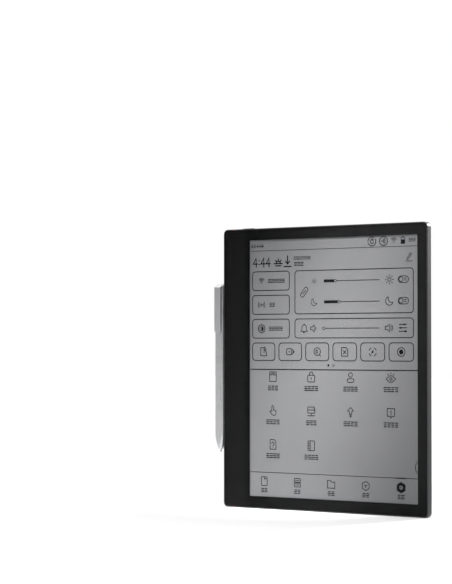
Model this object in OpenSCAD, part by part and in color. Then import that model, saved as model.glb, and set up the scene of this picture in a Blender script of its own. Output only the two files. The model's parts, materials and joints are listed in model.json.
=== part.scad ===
// Pen tablet with an electronic paper screen, and its battery-free stylus docked on the left edge.
// Millimetres. +Z is up the screen, -Y is the side that the reader looks at, +X is the reader's right.
// The origin is the middle of the bottom edge, halfway through the thickness.

/* [Tablet] */
// Width across the front
body_w = 195.4; // [190:0.2:205]
// Height from the bottom edge to the top edge
body_h = 229.4; // [226:0.2:240]
// Thickness, front to back
body_t = 5.8; // [5.8:0.1:7]
// Radius of the four corners, seen from the front
corner_r = 4; // [3:0.5:5]
// Radius that softens the housing's long edges
edge_r = 0.4; // [0.2:0.1:0.5]
// Thickness of the side walls below the glass
wall = 1.6; // [1.4:0.1:1.8]
// Thickness of the back wall
back_wall = 0.8; // [0.6:0.1:1]
// Width of the housing's rim around the glass
rim = 0.8; // [0.6:0.1:1]

/* [Screen] */
// Width of the lit area
screen_w = 159.7; // [150:0.1:160]
// Height of the lit area
screen_h = 209.7; // [200:0.1:210]
// Border between the lit area and the right edge
right_border = 9.5; // [9.5:0.1:12]
// Border between the lit area and the bottom edge
bottom_border = 10.1; // [9.8:0.1:12]

/* [Spine] */
// Distance from the left edge to the middle of the accent strip
accent_inset = 10.8; // [10:0.1:12]
// Width of the accent strip
accent_w = 1.4; // [1:0.1:2]

/* [Stylus] */
// Length from the nib's tip to the end cap's peak
pen_l = 140; // [138:1:145]
// Diameter of the barrel's round side
pen_d = 9.4; // [9.2:0.1:10]
// Depth of the barrel from its flat face to its round back
pen_depth = 8.2; // [8:0.1:8.4]
// Height of the docked nib's tip above the bottom edge
pen_z = 44.7; // [40:0.1:48]
// Gap between the docked barrel and the tablet's left wall
dock_gap = 0.15; // [0.1:0.05:0.3]

/* [Hidden] */
$fn = 64;
eps = 0.01;

// ---- layers of the tablet, front to back: the y at which each one starts or ends
half_w = body_w / 2;
half_t = body_t / 2;
bond = 0.02;
glass_front = -half_t + 0.05;
glass_back = glass_front + 0.55;
mask_front = glass_back + bond;
mask_back = mask_front + 0.06;
ledge = mask_back + 0.15;
touch_front = mask_back + bond;
touch_back = touch_front + 0.15;
guide_front = touch_back + bond;
guide_back = guide_front + 0.38;
panel_front = guide_back + 0.1;
panel_back = panel_front + 0.58;
digitizer_back = panel_back + 0.28;
shield_back = digitizer_back + 0.08;
frame_back = shield_back + 0.48;
cavity_back = half_t - back_wall;

// ---- the lit area and the outline of the optical layers around it
screen_x1 = half_w - right_border;
screen_x0 = screen_x1 - screen_w;
screen_z0 = bottom_border;
screen_z1 = screen_z0 + screen_h;
optic_margin = 2.1;
panel_x0 = screen_x0 - 8;
panel_x1 = screen_x1 + optic_margin;
panel_z0 = screen_z0 - optic_margin;
panel_z1 = screen_z1 + optic_margin;

// ---- the spine and the accent strip
accent_x = -half_w + accent_inset;
accent_x0 = accent_x - accent_w / 2;
accent_x1 = accent_x + accent_w / 2;
seam_gap = 0.03;
flange_t = 0.35;
flange_w = 1.2;

// ---- speakers, one near each end of the spine
speaker_z = [25, body_h - 24.4];
speaker_size = [11.2, 3.2, 20];
speaker_x = -half_w + wall + 0.2;
speaker_y = -1.75;
grille_holes = 7;
grille_pitch = 2.1;
grille_r = 0.5;

// ---- the charging port in the bottom edge
port_x = -60;
port_y = 0.1;
port_w = 8.94;
port_h = 3.16;
port_depth = 7.3;
port_recess = 0.3;
port_shell_t = 0.25;
port_clearance = 0.12;
mic_x = -46;
mic_y = 0.35;
mic_hole_r = 0.45;

// ---- the power button in the top edge
button_x = -74;
button_size = [11, 2];
button_proud = 0.5;
button_travel = 0.35;
button_clearance = 0.1;

// ---- screws: the frame's, around the edge, and the main board's
screw_r = 0.7;
screw_head_r = 1.3;
boss_r = 1.9;
spine_screw_x = -half_w + 6.9;
right_screw_x = half_w - 4.2;
bottom_screw_z = 4.2;
top_screw_z = body_h - 4;
frame_screws_at = [
    for (z = [50, 90, 140, 180]) [spine_screw_x, z],
    for (z = [25, 85, 145, 205]) [right_screw_x, z],
    for (x = [-20, 25, 70]) [x, bottom_screw_z],
    for (x = [-40, 20, 75]) [x, top_screw_z]
];
board_screws_at = [[-70, 181], [-20, 216], [45, 181], [82, 216]];

// ---- circuit boards and the battery behind the frame
board = [-78, 176, 88, 221];
board_front = 0.3;
board_back = 1.1;
chip_h = 0.7;
can_h = 0.9;
can_wall = 0.15;
cans = [[-62, 186, 30, 26], [-24, 186, 26, 22], [14, 190, 22, 20]];
chips = [[-60, 190, 14, 16], [-43, 190, 9, 12], [-19, 190, 14, 12], [19, 195, 10, 10], [60, 190, 8, 8]];
connectors = [[-77, 187, 5, 18], [-30, 177, 14, 4], [50, 186, 16, 5]];
usb_board = [-80, 2.2, -36, 22];
usb_board_front = 0.95;
usb_board_back = 1.55;
cell_size = [72, 98];
cells_at = [[-76, 60], [-1, 60]];
cell_front = 0;
cell_back = 2;

// ---- magnets that hold the stylus
magnet_pitch = 15;
magnet_z = [for (i = [0:7]) 57 + i * magnet_pitch];
magnet_l = 10;

// ---- the stylus, in its own frame: its axis is z and the nib's tip is at zero
pen_r = pen_d / 2;
flat_y = -(pen_depth - pen_r);
pen_x = -half_w - dock_gap - pen_r;
nib_show = 3;
nose_l = 13;
nose_end_r = 2.1;
nose_z = nib_show + nose_l;
nose_drop = pen_r - nose_end_r;
nose_arc_r = (nose_l * nose_l + nose_drop * nose_drop) / (2 * nose_drop);
pen_wall = 0.8;
bore_r = pen_r - pen_wall;
collar_r = 1.55;
collar_lip = 0.65;
collar_chamfer = 0.25;
collar_bore_r = 0.75;
nib_r = 0.65;
nib_end_z = 25;
nib_travel = 0.3;
holder_z0 = 24.35;
holder_z1 = 25.9;
dome_r = 5.5;
dome_z = pen_l - 0.1 - dome_r;
barrel_top = dome_z + sqrt(dome_r * dome_r - pen_r * pen_r);
clip_w = 6.4;
clip_t = 0.9;
clip_gap = 0.8;
clip_l = 38.5;
clip_slope = 28;
clip_inner_y = flat_y - clip_gap;
clip_outer_y = clip_inner_y - clip_t;
side_button_z = 49;
side_button_size = [4.6, 12];
side_button_proud = 0.35;
side_button_travel = 0.3;
pen_board_y = -1.2;

// ---------------------------------------------------------------- shared shapes

// Rectangle with round corners, from its lower left to its upper right corner.
module round_rect(x0, z0, x1, z1, r) {
    translate([x0 + r, z0]) square([x1 - x0 - 2 * r, z1 - z0]);
    translate([x0, z0 + r]) square([x1 - x0, z1 - z0 - 2 * r]);
    for (x = [x0 + r, x1 - r], z = [z0 + r, z1 - r]) translate([x, z]) circle(r);
}

// Bar with two round ends, its long side along the first axis.
module slot_2d(length, width) {
    square([length - width, width], center = true);
    for (s = [-1, 1]) translate([s * (length - width) / 2, 0]) circle(width / 2);
}

// A flat layer whose outline is drawn in x and z, between two depths.
module layer(y0, y1) translate([0, y1, 0]) rotate([90, 0, 0]) linear_extrude(y1 - y0) children();

// A box between two corners.
module block(from, to) translate(from) cube(to - from);

// A cylinder along y.
module y_rod(x, z, r, y0, y1) translate([x, y0, z]) rotate([-90, 0, 0]) cylinder(r = r, h = y1 - y0);

module soft_section(width, thickness, r) {
    square([width - 2 * r, thickness], center = true);
    square([width, thickness - 2 * r], center = true);
    for (x = [-1, 1], y = [-1, 1])
        translate([x * (width / 2 - r), y * (thickness / 2 - r)]) circle(r);
}

// The tablet's outer shape: round corners, and long edges softened all the way round.
module soft_slab() {
    long_w = body_w - 2 * corner_r;
    long_h = body_h - 2 * corner_r;
    translate([0, 0, body_h / 2]) {
        rotate([0, 90, 0]) linear_extrude(long_w, center = true) soft_section(body_h, body_t, edge_r);
        linear_extrude(long_h, center = true) soft_section(body_w, body_t, edge_r);
        for (x = [-1, 1], z = [-1, 1])
            translate([x * long_w / 2, 0, z * long_h / 2]) rotate([90, 0, 0])
                rotate_extrude() intersection() {
                    soft_section(2 * corner_r, body_t, edge_r);
                    translate([0, -body_t]) square([2 * corner_r, 2 * body_t]);
                }
    }
}

// The housing before it is parted at the accent strip: a tub with its openings, open to the front.
module housing() {
    difference() {
        soft_slab();
        layer(-body_t, ledge) round_rect(-half_w + rim, rim, half_w - rim, body_h - rim, corner_r - rim);
        layer(-body_t, cavity_back)
            round_rect(-half_w + wall, wall, half_w - wall, body_h - wall, corner_r - wall);
        translate([port_x, port_y, -eps]) linear_extrude(wall + 2 * eps)
            slot_2d(port_w + 2 * port_clearance, port_h + 2 * port_clearance);
        translate([button_x, 0, body_h - wall - eps]) linear_extrude(wall + 2 * eps)
            slot_2d(button_size.x + 2 * button_clearance, button_size.y + 2 * button_clearance);
        translate([mic_x, mic_y, -eps]) cylinder(r = mic_hole_r, h = wall + 2 * eps);
        for (z = speaker_z, i = [0:grille_holes - 1])
            translate([-half_w - eps, 0, z + (i - (grille_holes - 1) / 2) * grille_pitch])
                rotate([0, 90, 0]) cylinder(r = grille_r, h = wall + 2 * eps);
    }
}

module between_x(x0, x1) intersection() {
    children();
    block([x0, -body_t, -body_t], [x1, body_t, body_h + body_t]);
}

// Blind screw bosses that stand on the back wall, for the screws between two x.
module bosses(x0, x1) {
    for (at = frame_screws_at) if (at.x > x0 && at.x < x1) difference() {
        y_rod(at.x, at.y, boss_r, frame_back + 0.02, cavity_back + eps);
        y_rod(at.x, at.y, screw_r + 0.02, frame_back, cavity_back - 0.4);
    }
}

// ---------------------------------------------------------------- the tablet's housing

module rear_cover() color("#48494b") {
    between_x(accent_x1 + seam_gap, half_w + 1) housing();
    bosses(accent_x1, half_w);
}

module spine_cover() color("#4a4b4d") {
    between_x(-half_w - 1, accent_x0 - seam_gap) housing();
    bosses(-half_w, accent_x0);
}

// The visible band, with a flange behind it that both covers are bonded to.
module accent_strip() color("#c8593c") {
    between_x(accent_x0, accent_x1) housing();
    block([accent_x0 - flange_w, cavity_back - flange_t, wall + 3],
          [accent_x1 + flange_w, cavity_back, body_h - wall - 3]);
}

module mid_frame() color("#8d9094") {
    difference() {
        layer(shield_back, frame_back) difference() {
            round_rect(-half_w + 4.5, wall + 0.2, half_w - wall - 0.2, body_h - wall - 0.2, corner_r - wall);
            for (z = speaker_z)
                translate([-half_w, z - speaker_size.z / 2 - 0.4])
                    square([wall + speaker_size.x + 0.8, speaker_size.z + 0.8]);
            translate([port_x - 6, 0]) square([12, 9]);
            translate([mic_x - 3, 0]) square([6, 7]);
            translate([button_x - 8, body_h - 8]) square([16, 9]);
            translate([panel_x0 - 4, 186]) square([3.4, 20]);
            for (at = frame_screws_at) translate(at) circle(screw_r + 0.15);
        }
    }
    for (at = board_screws_at) difference() {
        y_rod(at.x, at.y, 1.6, frame_back - eps, board_front);
        y_rod(at.x, at.y, 0.62, frame_back, board_front + eps);
    }
}

// ---------------------------------------------------------------- the screen, front to back

glass_gap = 0.06;

module glass_outline() {
    g = rim + glass_gap;
    round_rect(-half_w + g, g, half_w - g, body_h - g, corner_r - g);
}

module front_glass() color("#d9dfe2", 0.35) layer(glass_front, glass_back) glass_outline();

module bezel_mask() color("#1d1e20") layer(mask_front, mask_back) difference() {
    glass_outline();
    translate([screen_x0, screen_z0]) square([screen_w, screen_h]);
}

module glass_adhesive() color("#2b2b2d") layer(mask_back, ledge) difference() {
    g = rim + 0.2;
    i = g + 1.9;
    round_rect(-half_w + g, g, half_w - g, body_h - g, corner_r - g);
    round_rect(-half_w + i, i, half_w - i, body_h - i, corner_r - i);
}

module optic_outline() translate([screen_x0 - optic_margin, panel_z0])
    square([screen_w + 2 * optic_margin, screen_h + 2 * optic_margin]);

module touch_sensor() color("#cfd6d8", 0.4) layer(touch_front, touch_back) optic_outline();

module light_guide() color("#dfe6e8", 0.4) layer(guide_front, guide_back) optic_outline();

// Row of side-firing lamps on a strip under the guide's lower edge.
module light_bar() color("#f2edc9") {
    lamps = 30;
    lamp = [3, 0.34, 1];
    pitch = screen_w / lamps;
    block([screen_x0, guide_back + 0.02, panel_z0 - 2.2], [screen_x1, guide_back + 0.12, panel_z0 - 0.1]);
    for (i = [0:lamps - 1])
        translate([screen_x0 + (i + 0.5) * pitch - lamp.x / 2, guide_back - lamp.y, panel_z0 - 1.1])
            cube(lamp);
}

module epaper_panel() color("#a6a7aa")
    block([panel_x0, panel_front, panel_z0], [panel_x1, panel_back, panel_z1]);

module digitizer_board() color("#2f6b4f")
    block([panel_x0 + 0.5, panel_back, panel_z0 + 0.5], [panel_x1 - 0.5, digitizer_back, panel_z1 - 0.5]);

module digitizer_shield() color("#6e7073")
    block([panel_x0 + 1, digitizer_back, panel_z0 + 1], [panel_x1 - 1, shield_back, panel_z1 - 1]);

// Ribbon that leaves the panel on the spine side and turns back round the frame.
module display_flex() color("#b9762e") {
    t = 0.12;
    x = panel_x0 - 2.7;
    z0 = 188;
    z1 = 204;
    block([x, panel_front + 0.2, z0], [panel_x0, panel_front + 0.2 + t, z1]);
    block([x, panel_front + 0.2, z0], [x + t, t, z1]);
    block([x, 0, z0], [connectors[0].x - 0.02, t, z1]);
}

// ---------------------------------------------------------------- power and boards

module battery_cells() color("#b8bcc0") for (at = cells_at)
    layer(cell_front, cell_back) round_rect(at.x, at.y, at.x + cell_size.x, at.y + cell_size.y, 2);

module battery_board() color("#2c5d44") {
    z = cells_at[0].y + cell_size.y + 0.3;
    block([-60, 0.6, z], [50, 1.2, z + 6]);
    for (x = [-40, 28]) block([x, 1.2 - eps, z + 1], [x + 8, 1.9, z + 5]);
}

module battery_adhesive() color("#e4e2da") for (at = cells_at, i = [0:2])
    translate([at.x + 8 + i * 22, frame_back + 0.01, at.y + 6])
        cube([12, cell_front - frame_back - 0.02, cell_size.y - 12]);

module main_board() color("#1f5a46") difference() {
    block([board[0], board_front, board[1]], [board[2], board_back, board[3]]);
    for (at = board_screws_at) y_rod(at.x, at.y, 0.8, board_front - eps, board_back + eps);
}

module board_chips() color("#202124") for (c = chips)
    block([c[0], board_back, c[1]], [c[0] + c[2], board_back + chip_h, c[1] + c[3]]);

// Stamped lids over the groups of chips, open towards the board.
module shield_cans() color("#c4c7ca") for (c = cans) difference() {
    block([c[0], board_back, c[1]], [c[0] + c[2], board_back + can_h, c[1] + c[3]]);
    block([c[0] + can_wall, board_back - eps, c[1] + can_wall],
          [c[0] + c[2] - can_wall, board_back + can_h - can_wall / 2, c[1] + c[3] - can_wall]);
}

module board_connectors() color("#e8e3d2") for (c = connectors)
    block([c[0], board_front - 0.4, c[1]], [c[0] + c[2], board_front, c[1] + c[3]]);

module heat_spreader() color("#55575a")
    block([-66, board_back + can_h + 0.01, 182], [40, cavity_back - 0.01, 216]);

module usb_board() color("#1f5a46") layer(usb_board_front, usb_board_back) difference() {
    translate([usb_board[0], usb_board[1]])
        square([usb_board[2] - usb_board[0], usb_board[3] - usb_board[1]]);
    translate([port_x - port_w / 2 - 0.15, 0]) square([port_w + 0.3, port_recess + port_depth + 0.1]);
}

// Drawn tube of the port, closed at its inner end.
module usb_port_shell() color("#b9bcc0") translate([port_x, port_y, port_recess]) difference() {
    linear_extrude(port_depth) slot_2d(port_w, port_h);
    translate([0, 0, -eps]) linear_extrude(port_depth - 0.4)
        slot_2d(port_w - 2 * port_shell_t, port_h - 2 * port_shell_t);
}

module usb_port_tongue() color("#26272a")
    translate([port_x - 3.35, port_y - 0.35, port_recess + 1]) cube([6.7, 0.7, port_depth - 1.42]);

// Ribbon from the port's board up to the main board.
module link_flex() color("#b9762e")
    block([-84, 0.4, 18], [-80.4, 0.55, 185]);

// ---------------------------------------------------------------- sound, buttons and radio

module speakers() color("#3a3b3e") for (z = speaker_z)
    translate([speaker_x, speaker_y, z - speaker_size.z / 2]) {
        difference() {
            cube(speaker_size);
            translate([speaker_size.x / 2, speaker_size.y - 0.3, speaker_size.z / 2]) rotate([-90, 0, 0])
                cylinder(r = 4.2, h = 1);
        }
    }

module speaker_meshes() color("#18181a") for (z = speaker_z)
    block([-half_w + wall + 0.01, -1.2, z - 8.5], [-half_w + wall + 0.17, 1.2, z + 8.5]);

module microphone() color("#c9b26a")
    block([mic_x - 1.8, usb_board_front - 1, 2.4], [mic_x + 1.8, usb_board_front, 5.2]);

// Key cap in the top wall, with the flange that keeps it in and the post that meets the switch.
module power_button() color("#5a5b5d") translate([button_x, 0, body_h]) {
    translate([0, 0, -wall]) linear_extrude(wall + button_proud) slot_2d(button_size.x, button_size.y);
    translate([0, 0, -wall - 0.75]) linear_extrude(0.7) slot_2d(button_size.x + 2, button_size.y + 0.7);
    translate([0, 0, -wall - 0.75]) linear_extrude(0.8) slot_2d(button_size.x, button_size.y);
    translate([0, 0, -wall - 1.4]) cylinder(r = 0.8, h = 0.8);
}

module power_switch() color("#cfd1d3") {
    top = body_h - wall - 1.4 - button_travel - 0.03;
    translate([button_x, 0, top - 0.4]) cylinder(r = 0.9, h = 0.4);
    block([button_x - 2.2, -1.3, top - 2.2], [button_x + 2.2, 1.3, top - 0.4]);
}

module power_flex() color("#b9762e") {
    base = body_h - wall - 1.4 - button_travel - 0.03 - 2.2;
    block([button_x - 3, -1.4, base - 0.15], [button_x + 3, 1.4, base]);
    block([button_x - 3, -0.1, 216], [button_x + 3, 0.05, base - 0.15 + eps]);
}

module antennas() color("#c98b45") for (z = [[54, 86], [96, 134]])
    block([-half_w + 2.2, cavity_back - 0.2, z[0]], [-half_w + 8.2, cavity_back - 0.02, z[1]]);

module dock_magnets() color("#9ea1a5") for (z = magnet_z)
    block([-half_w + wall + 0.15, -1.5, z], [-half_w + wall + 2.5, 1.5, z + magnet_l]);

// ---------------------------------------------------------------- fasteners

module frame_screws() color("#777a7e") for (at = frame_screws_at) difference() {
    union() {
        y_rod(at.x, at.y, screw_head_r, shield_back - 0.5, shield_back);
        y_rod(at.x, at.y, screw_r, shield_back - eps, cavity_back - 0.6);
    }
    translate([at.x - 0.8, shield_back - 0.6, at.y - 0.15]) cube([1.6, 0.35, 0.3]);
    translate([at.x - 0.15, shield_back - 0.6, at.y - 0.8]) cube([0.3, 0.35, 1.6]);
}

module board_screws() color("#777a7e") for (at = board_screws_at) {
    y_rod(at.x, at.y, 1.2, board_back, board_back + 0.45);
    y_rod(at.x, at.y, 0.6, frame_back + 0.1, board_back + eps);
}

// ---------------------------------------------------------------- the stylus

module in_dock() translate([pen_x, 0, pen_z]) children();

// Keeps what lies behind a plane parallel to the flat face.
module behind(y) intersection() {
    children();
    block([-pen_d, y, -1], [pen_d, pen_d, pen_l + 1]);
}

// Half outline of the barrel: a tangent arc runs from the nose's end to the straight part.
module barrel_outline() {
    intersection() {
        translate([pen_r - nose_arc_r, nose_z]) circle(nose_arc_r, $fn = 256);
        translate([0, nib_show]) square([pen_r, nose_l]);
    }
    translate([0, nose_z]) square([pen_r, barrel_top - nose_z]);
}

// The space that the clip's sloping root takes out of the barrel's end and the cap.
module clip_seat() {
    clear = 0.08;
    translate([-clip_w / 2 - clear, 0, 0]) rotate([90, 0, 90])
        linear_extrude(clip_w + 2 * clear) polygon([
            for (y = [-pen_d, 0.62]) [y, clip_root_z(y) - clear],
            [0.62, pen_l + 2], [-pen_d, pen_l + 2]
        ]);
}

// Height of the sloping root's underside at a depth y.
function clip_root_z(y) = pen_l - clip_t / cos(clip_slope) + y * tan(clip_slope);

module pen_barrel() color("#c9cbcd") in_dock() difference() {
    behind(flat_y) rotate_extrude() barrel_outline();
    translate([0, 0, nib_show - eps]) cylinder(r = collar_r + 0.02, h = 6);
    behind(flat_y + pen_wall) {
        translate([0, 0, nib_show + 5]) cylinder(r1 = collar_r, r2 = bore_r, h = nose_l - 5);
        translate([0, 0, nose_z - eps]) cylinder(r = bore_r, h = pen_l);
    }
    translate([0, flat_y + pen_wall / 2, side_button_z]) rotate([90, 90, 0])
        linear_extrude(2 * pen_wall, center = true)
            slot_2d(side_button_size.y + 0.24, side_button_size.x + 0.24);
    clip_seat();
}

module pen_end_cap() color("#c4c6c8") in_dock() difference() {
    union() {
        behind(flat_y) intersection() {
            translate([0, 0, dome_z]) sphere(dome_r, $fn = 96);
            translate([0, 0, barrel_top + 0.02]) cylinder(r = pen_r, h = pen_l);
        }
        behind(flat_y + pen_wall + 0.03)
            translate([0, 0, barrel_top - 6]) cylinder(r = bore_r - 0.03, h = 6 + 0.1);
    }
    clip_seat();
}

// Bent strip: the root lies on the cap and the arm hangs in front of the flat face.
module pen_clip() color("#d0d2d4") in_dock() {
    root_y = 0.5;
    bend_z = clip_root_z(clip_inner_y);
    top_z = clip_root_z(clip_outer_y) + clip_t / cos(clip_slope);
    intersection() {
        translate([-clip_w / 2, 0, 0]) rotate([90, 0, 90]) linear_extrude(clip_w) polygon([
            [clip_outer_y, top_z - clip_l], [clip_outer_y, top_z - 0.35],
            [clip_outer_y + 0.3, top_z + 0.2], [0, pen_l], [root_y, clip_root_z(root_y)],
            [clip_inner_y, bend_z], [clip_inner_y, top_z - clip_l]
        ]);
        layer(-pen_d, pen_d) round_rect(-clip_w / 2, top_z - clip_l, clip_w / 2, pen_l + 5, clip_w / 2 - eps);
    }
    translate([-clip_w / 4, clip_inner_y, top_z - clip_l + 4]) rotate([0, 90, 0])
        cylinder(r = 0.5, h = clip_w / 2);
}

// Capsule key in the flat face, with a flange inside the barrel and a post over the switch.
module pen_side_button() color("#bfc1c3") in_dock()
    translate([0, flat_y, side_button_z]) rotate([90, 90, 0]) {
        translate([0, 0, -pen_wall]) linear_extrude(pen_wall + side_button_proud)
            slot_2d(side_button_size.y, side_button_size.x);
        translate([0, 0, -pen_wall - 0.4]) linear_extrude(0.35)
            slot_2d(side_button_size.y + 1.2, side_button_size.x + 0.7);
        translate([0, 0, -pen_wall - 0.4]) linear_extrude(0.45)
            slot_2d(side_button_size.y, side_button_size.x);
        translate([0, 0, -pen_wall - 0.6]) cylinder(r = 0.8, h = 0.3);
    }

module pen_side_switch() color("#cfd1d3") in_dock() {
    top = flat_y + pen_wall + 0.6 + side_button_travel + 0.03;
    y_rod(0, side_button_z, 0.8, top, top + 0.15);
    block([-1.6, top + 0.15, side_button_z - 1.6], [1.6, pen_board_y, side_button_z + 1.6]);
}

module pen_nib() color("#e3e3e0") in_dock() {
    translate([0, 0, nib_r]) sphere(nib_r, $fn = 48);
    translate([0, 0, nib_r]) cylinder(r = nib_r, h = nib_end_z - nib_r);
}

module pen_nib_collar() color("#ececea") in_dock() difference() {
    union() {
        translate([0, 0, nib_show - collar_lip + collar_chamfer])
            cylinder(r = collar_r, h = 4.8 + collar_lip - collar_chamfer);
        translate([0, 0, nib_show - collar_lip])
            cylinder(r1 = collar_r - collar_chamfer, r2 = collar_r, h = collar_chamfer + eps);
    }
    translate([0, 0, nib_show - 1]) cylinder(r = collar_bore_r, h = 7);
}

module tube(r_out, r_in, z0, z1) difference() {
    translate([0, 0, z0]) cylinder(r = r_out, h = z1 - z0);
    translate([0, 0, z0 - 1]) cylinder(r = r_in, h = z1 - z0 + 2);
}

module pen_ferrite_core() color("#3f4143") in_dock() tube(1.5, 0.8, 9, 24);

module pen_coil() color("#b5652e") in_dock() tube(2.1, 1.52, 11.5, 20);

// Cup that grips the nib's inner end and pushes on the sensor.
module pen_nib_holder() color("#5b5d60") in_dock() difference() {
    translate([0, 0, holder_z0]) cylinder(r = 1.5, h = holder_z1 - holder_z0);
    translate([0, 0, holder_z0 - 1]) cylinder(r = nib_r + 0.02, h = nib_end_z + 0.02 - holder_z0 + 1);
}

module pen_pressure_sensor() color("#8a8c8f") in_dock() {
    sensor_z = holder_z1 + nib_travel + 0.04;
    translate([0, 0, sensor_z]) cylinder(r = 2.6, h = 4.8);
    for (s = [-1, 1]) translate([s * 1.2, -1, sensor_z + 4.8 - eps]) cylinder(r = 0.25, h = 2);
}

module pen_board() color("#1f5a46") in_dock() difference() {
    block([-2.7, pen_board_y, 33.2], [2.7, pen_board_y + 0.6, 78]);
    for (s = [-1, 1]) translate([s * 1.2, pen_board_y + 0.3, 70]) rotate([90, 0, 0])
        cylinder(r = 0.5, h = 2, center = true);
}

// Moulded half-round carrier under the board, with pockets for the magnets.
module pen_chassis() color("#2d2e30") in_dock() difference() {
    behind(pen_board_y + 0.62) translate([0, 0, 34]) cylinder(r = bore_r - 0.1, h = barrel_top - 6.5 - 34);
    for (z = pen_magnet_z) block([1.1, -1.05, z - 0.05], [4.4, 1.05, z + magnet_l + 0.05]);
    for (z = [38, 60, 82, 104]) block([-1.8, -1, z], [0.6, 2.4, z + 14]);
}

pen_magnet_z = [for (z = magnet_z) if (z - pen_z > 36 && z - pen_z < barrel_top - 22) z - pen_z];

module pen_magnets() color("#9ea1a5") in_dock()
    for (z = pen_magnet_z) block([1.2, -0.5, z], [3.6, 0.9, z + magnet_l]);

// ---------------------------------------------------------------- drawing

rear_cover();
spine_cover();
accent_strip();
mid_frame();
front_glass();
bezel_mask();
glass_adhesive();
touch_sensor();
light_guide();
light_bar();
epaper_panel();
digitizer_board();
digitizer_shield();
display_flex();
battery_cells();
battery_board();
battery_adhesive();
main_board();
board_chips();
shield_cans();
board_connectors();
heat_spreader();
usb_board();
usb_port_shell();
usb_port_tongue();
link_flex();
speakers();
speaker_meshes();
microphone();
power_button();
power_switch();
power_flex();
antennas();
dock_magnets();
frame_screws();
board_screws();
pen_barrel();
pen_end_cap();
pen_clip();
pen_side_button();
pen_side_switch();
pen_nib();
pen_nib_collar();
pen_ferrite_core();
pen_coil();
pen_nib_holder();
pen_pressure_sensor();
pen_board();
pen_chassis();
pen_magnets();
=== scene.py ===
"""Looks of an electronic paper tablet and its stylus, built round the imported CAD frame, in metres."""
import json
import math
import random

import bmesh
import bpy
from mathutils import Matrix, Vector

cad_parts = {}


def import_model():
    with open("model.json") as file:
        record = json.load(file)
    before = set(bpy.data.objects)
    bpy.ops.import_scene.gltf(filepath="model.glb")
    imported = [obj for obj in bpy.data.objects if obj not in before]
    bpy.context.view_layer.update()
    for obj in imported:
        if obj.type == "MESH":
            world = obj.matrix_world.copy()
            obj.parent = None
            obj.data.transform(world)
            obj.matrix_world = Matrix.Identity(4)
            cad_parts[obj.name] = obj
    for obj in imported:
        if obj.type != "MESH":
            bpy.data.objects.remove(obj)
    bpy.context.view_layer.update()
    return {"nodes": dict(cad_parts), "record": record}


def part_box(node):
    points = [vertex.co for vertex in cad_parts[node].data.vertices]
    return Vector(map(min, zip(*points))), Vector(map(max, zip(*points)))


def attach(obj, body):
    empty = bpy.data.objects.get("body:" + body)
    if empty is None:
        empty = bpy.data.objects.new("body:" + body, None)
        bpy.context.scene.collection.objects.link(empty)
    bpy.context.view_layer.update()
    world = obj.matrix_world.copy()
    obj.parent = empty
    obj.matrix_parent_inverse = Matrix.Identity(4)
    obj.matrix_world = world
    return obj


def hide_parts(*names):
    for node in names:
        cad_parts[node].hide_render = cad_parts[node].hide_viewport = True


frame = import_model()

MM = 0.001
NODES = frame["nodes"]
BODY_OF = {node: body for body, nodes in frame["record"]["behaviour"]["bodies"].items() for node in nodes}
SLOT_OF = {part["node"]: part["material_slot"] for part in frame["record"]["subparts"]}

# ---------------------------------------------------------------- places read from the frame

PANEL_LOW, PANEL_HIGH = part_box("epaper_panel")
LAMPS_LOW, LAMPS_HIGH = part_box("light_bar")
# how far the panel reaches past the lit area, above and below it
PANEL_MARGIN = 2.1 * MM
SCREEN_LEFT, SCREEN_RIGHT = LAMPS_LOW.x, LAMPS_HIGH.x
SCREEN_BOTTOM = PANEL_LOW.z + PANEL_MARGIN
SCREEN_TOP = PANEL_HIGH.z - PANEL_MARGIN
SCREEN_MIDDLE = (SCREEN_LEFT + SCREEN_RIGHT) / 2
PAPER_Y = PANEL_LOW.y


# ---------------------------------------------------------------- camera, floor and light

CAMERA_PLACE = (0.8935, -1.3599, 0.1326)
# degrees up from straight down, and round from the front
CAMERA_TILT, CAMERA_TURN = 91.54, 36.08
# in millimetres
SENSOR_WIDTH, FOCAL_LENGTH = 36, 124.75
# how far the floor reaches each way from its middle
FLOOR_HALF = 6.0


def make_camera():
    """From the reader's right, level with the middle of the tablet."""
    data = bpy.data.cameras.new("camera")
    data.sensor_width = SENSOR_WIDTH
    data.lens = FOCAL_LENGTH
    camera = bpy.data.objects.new("camera", data)
    bpy.context.scene.collection.objects.link(camera)
    camera.location = CAMERA_PLACE
    camera.rotation_euler = (math.radians(CAMERA_TILT), 0, math.radians(CAMERA_TURN))
    bpy.context.scene.camera = camera


def make_floor():
    """A wide matte white floor."""
    half = FLOOR_HALF
    mesh = bpy.data.meshes.new("floor")
    corners = [(-half, -half, 0), (half, -half, 0), (half, half, 0), (-half, half, 0)]
    mesh.from_pydata(corners, [], [(0, 1, 2, 3)])
    floor = bpy.data.objects.new("floor", mesh)
    bpy.context.scene.collection.objects.link(floor)
    m = Finish("floor_paint")
    m.set("Base Color", m.tint(m.noise(300, detail=2), (0.90, 0.90, 0.90, 1), (0.92, 0.92, 0.92, 1)))
    m.set("Roughness", 0.9)
    m.set("Specular IOR Level", 0.1)
    mesh.materials.append(m.material)


def make_light(name, place, target, size, power, spread):
    """Soft box of so many watts, aimed at a target, whose light stays inside a cone of spread degrees."""
    data = bpy.data.lights.new(name, "AREA")
    data.shape = "RECTANGLE"
    data.size, data.size_y = size
    data.energy = power
    data.spread = math.radians(spread)
    light = bpy.data.objects.new(name, data)
    light.location = place
    light.visible_camera = False
    light.rotation_euler = (Vector(target) - Vector(place)).to_track_quat("-Z", "Y").to_euler()
    bpy.context.scene.collection.objects.link(light)


def grey(level):
    """A neutral colour."""
    return (level, level, level, 1)


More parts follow.
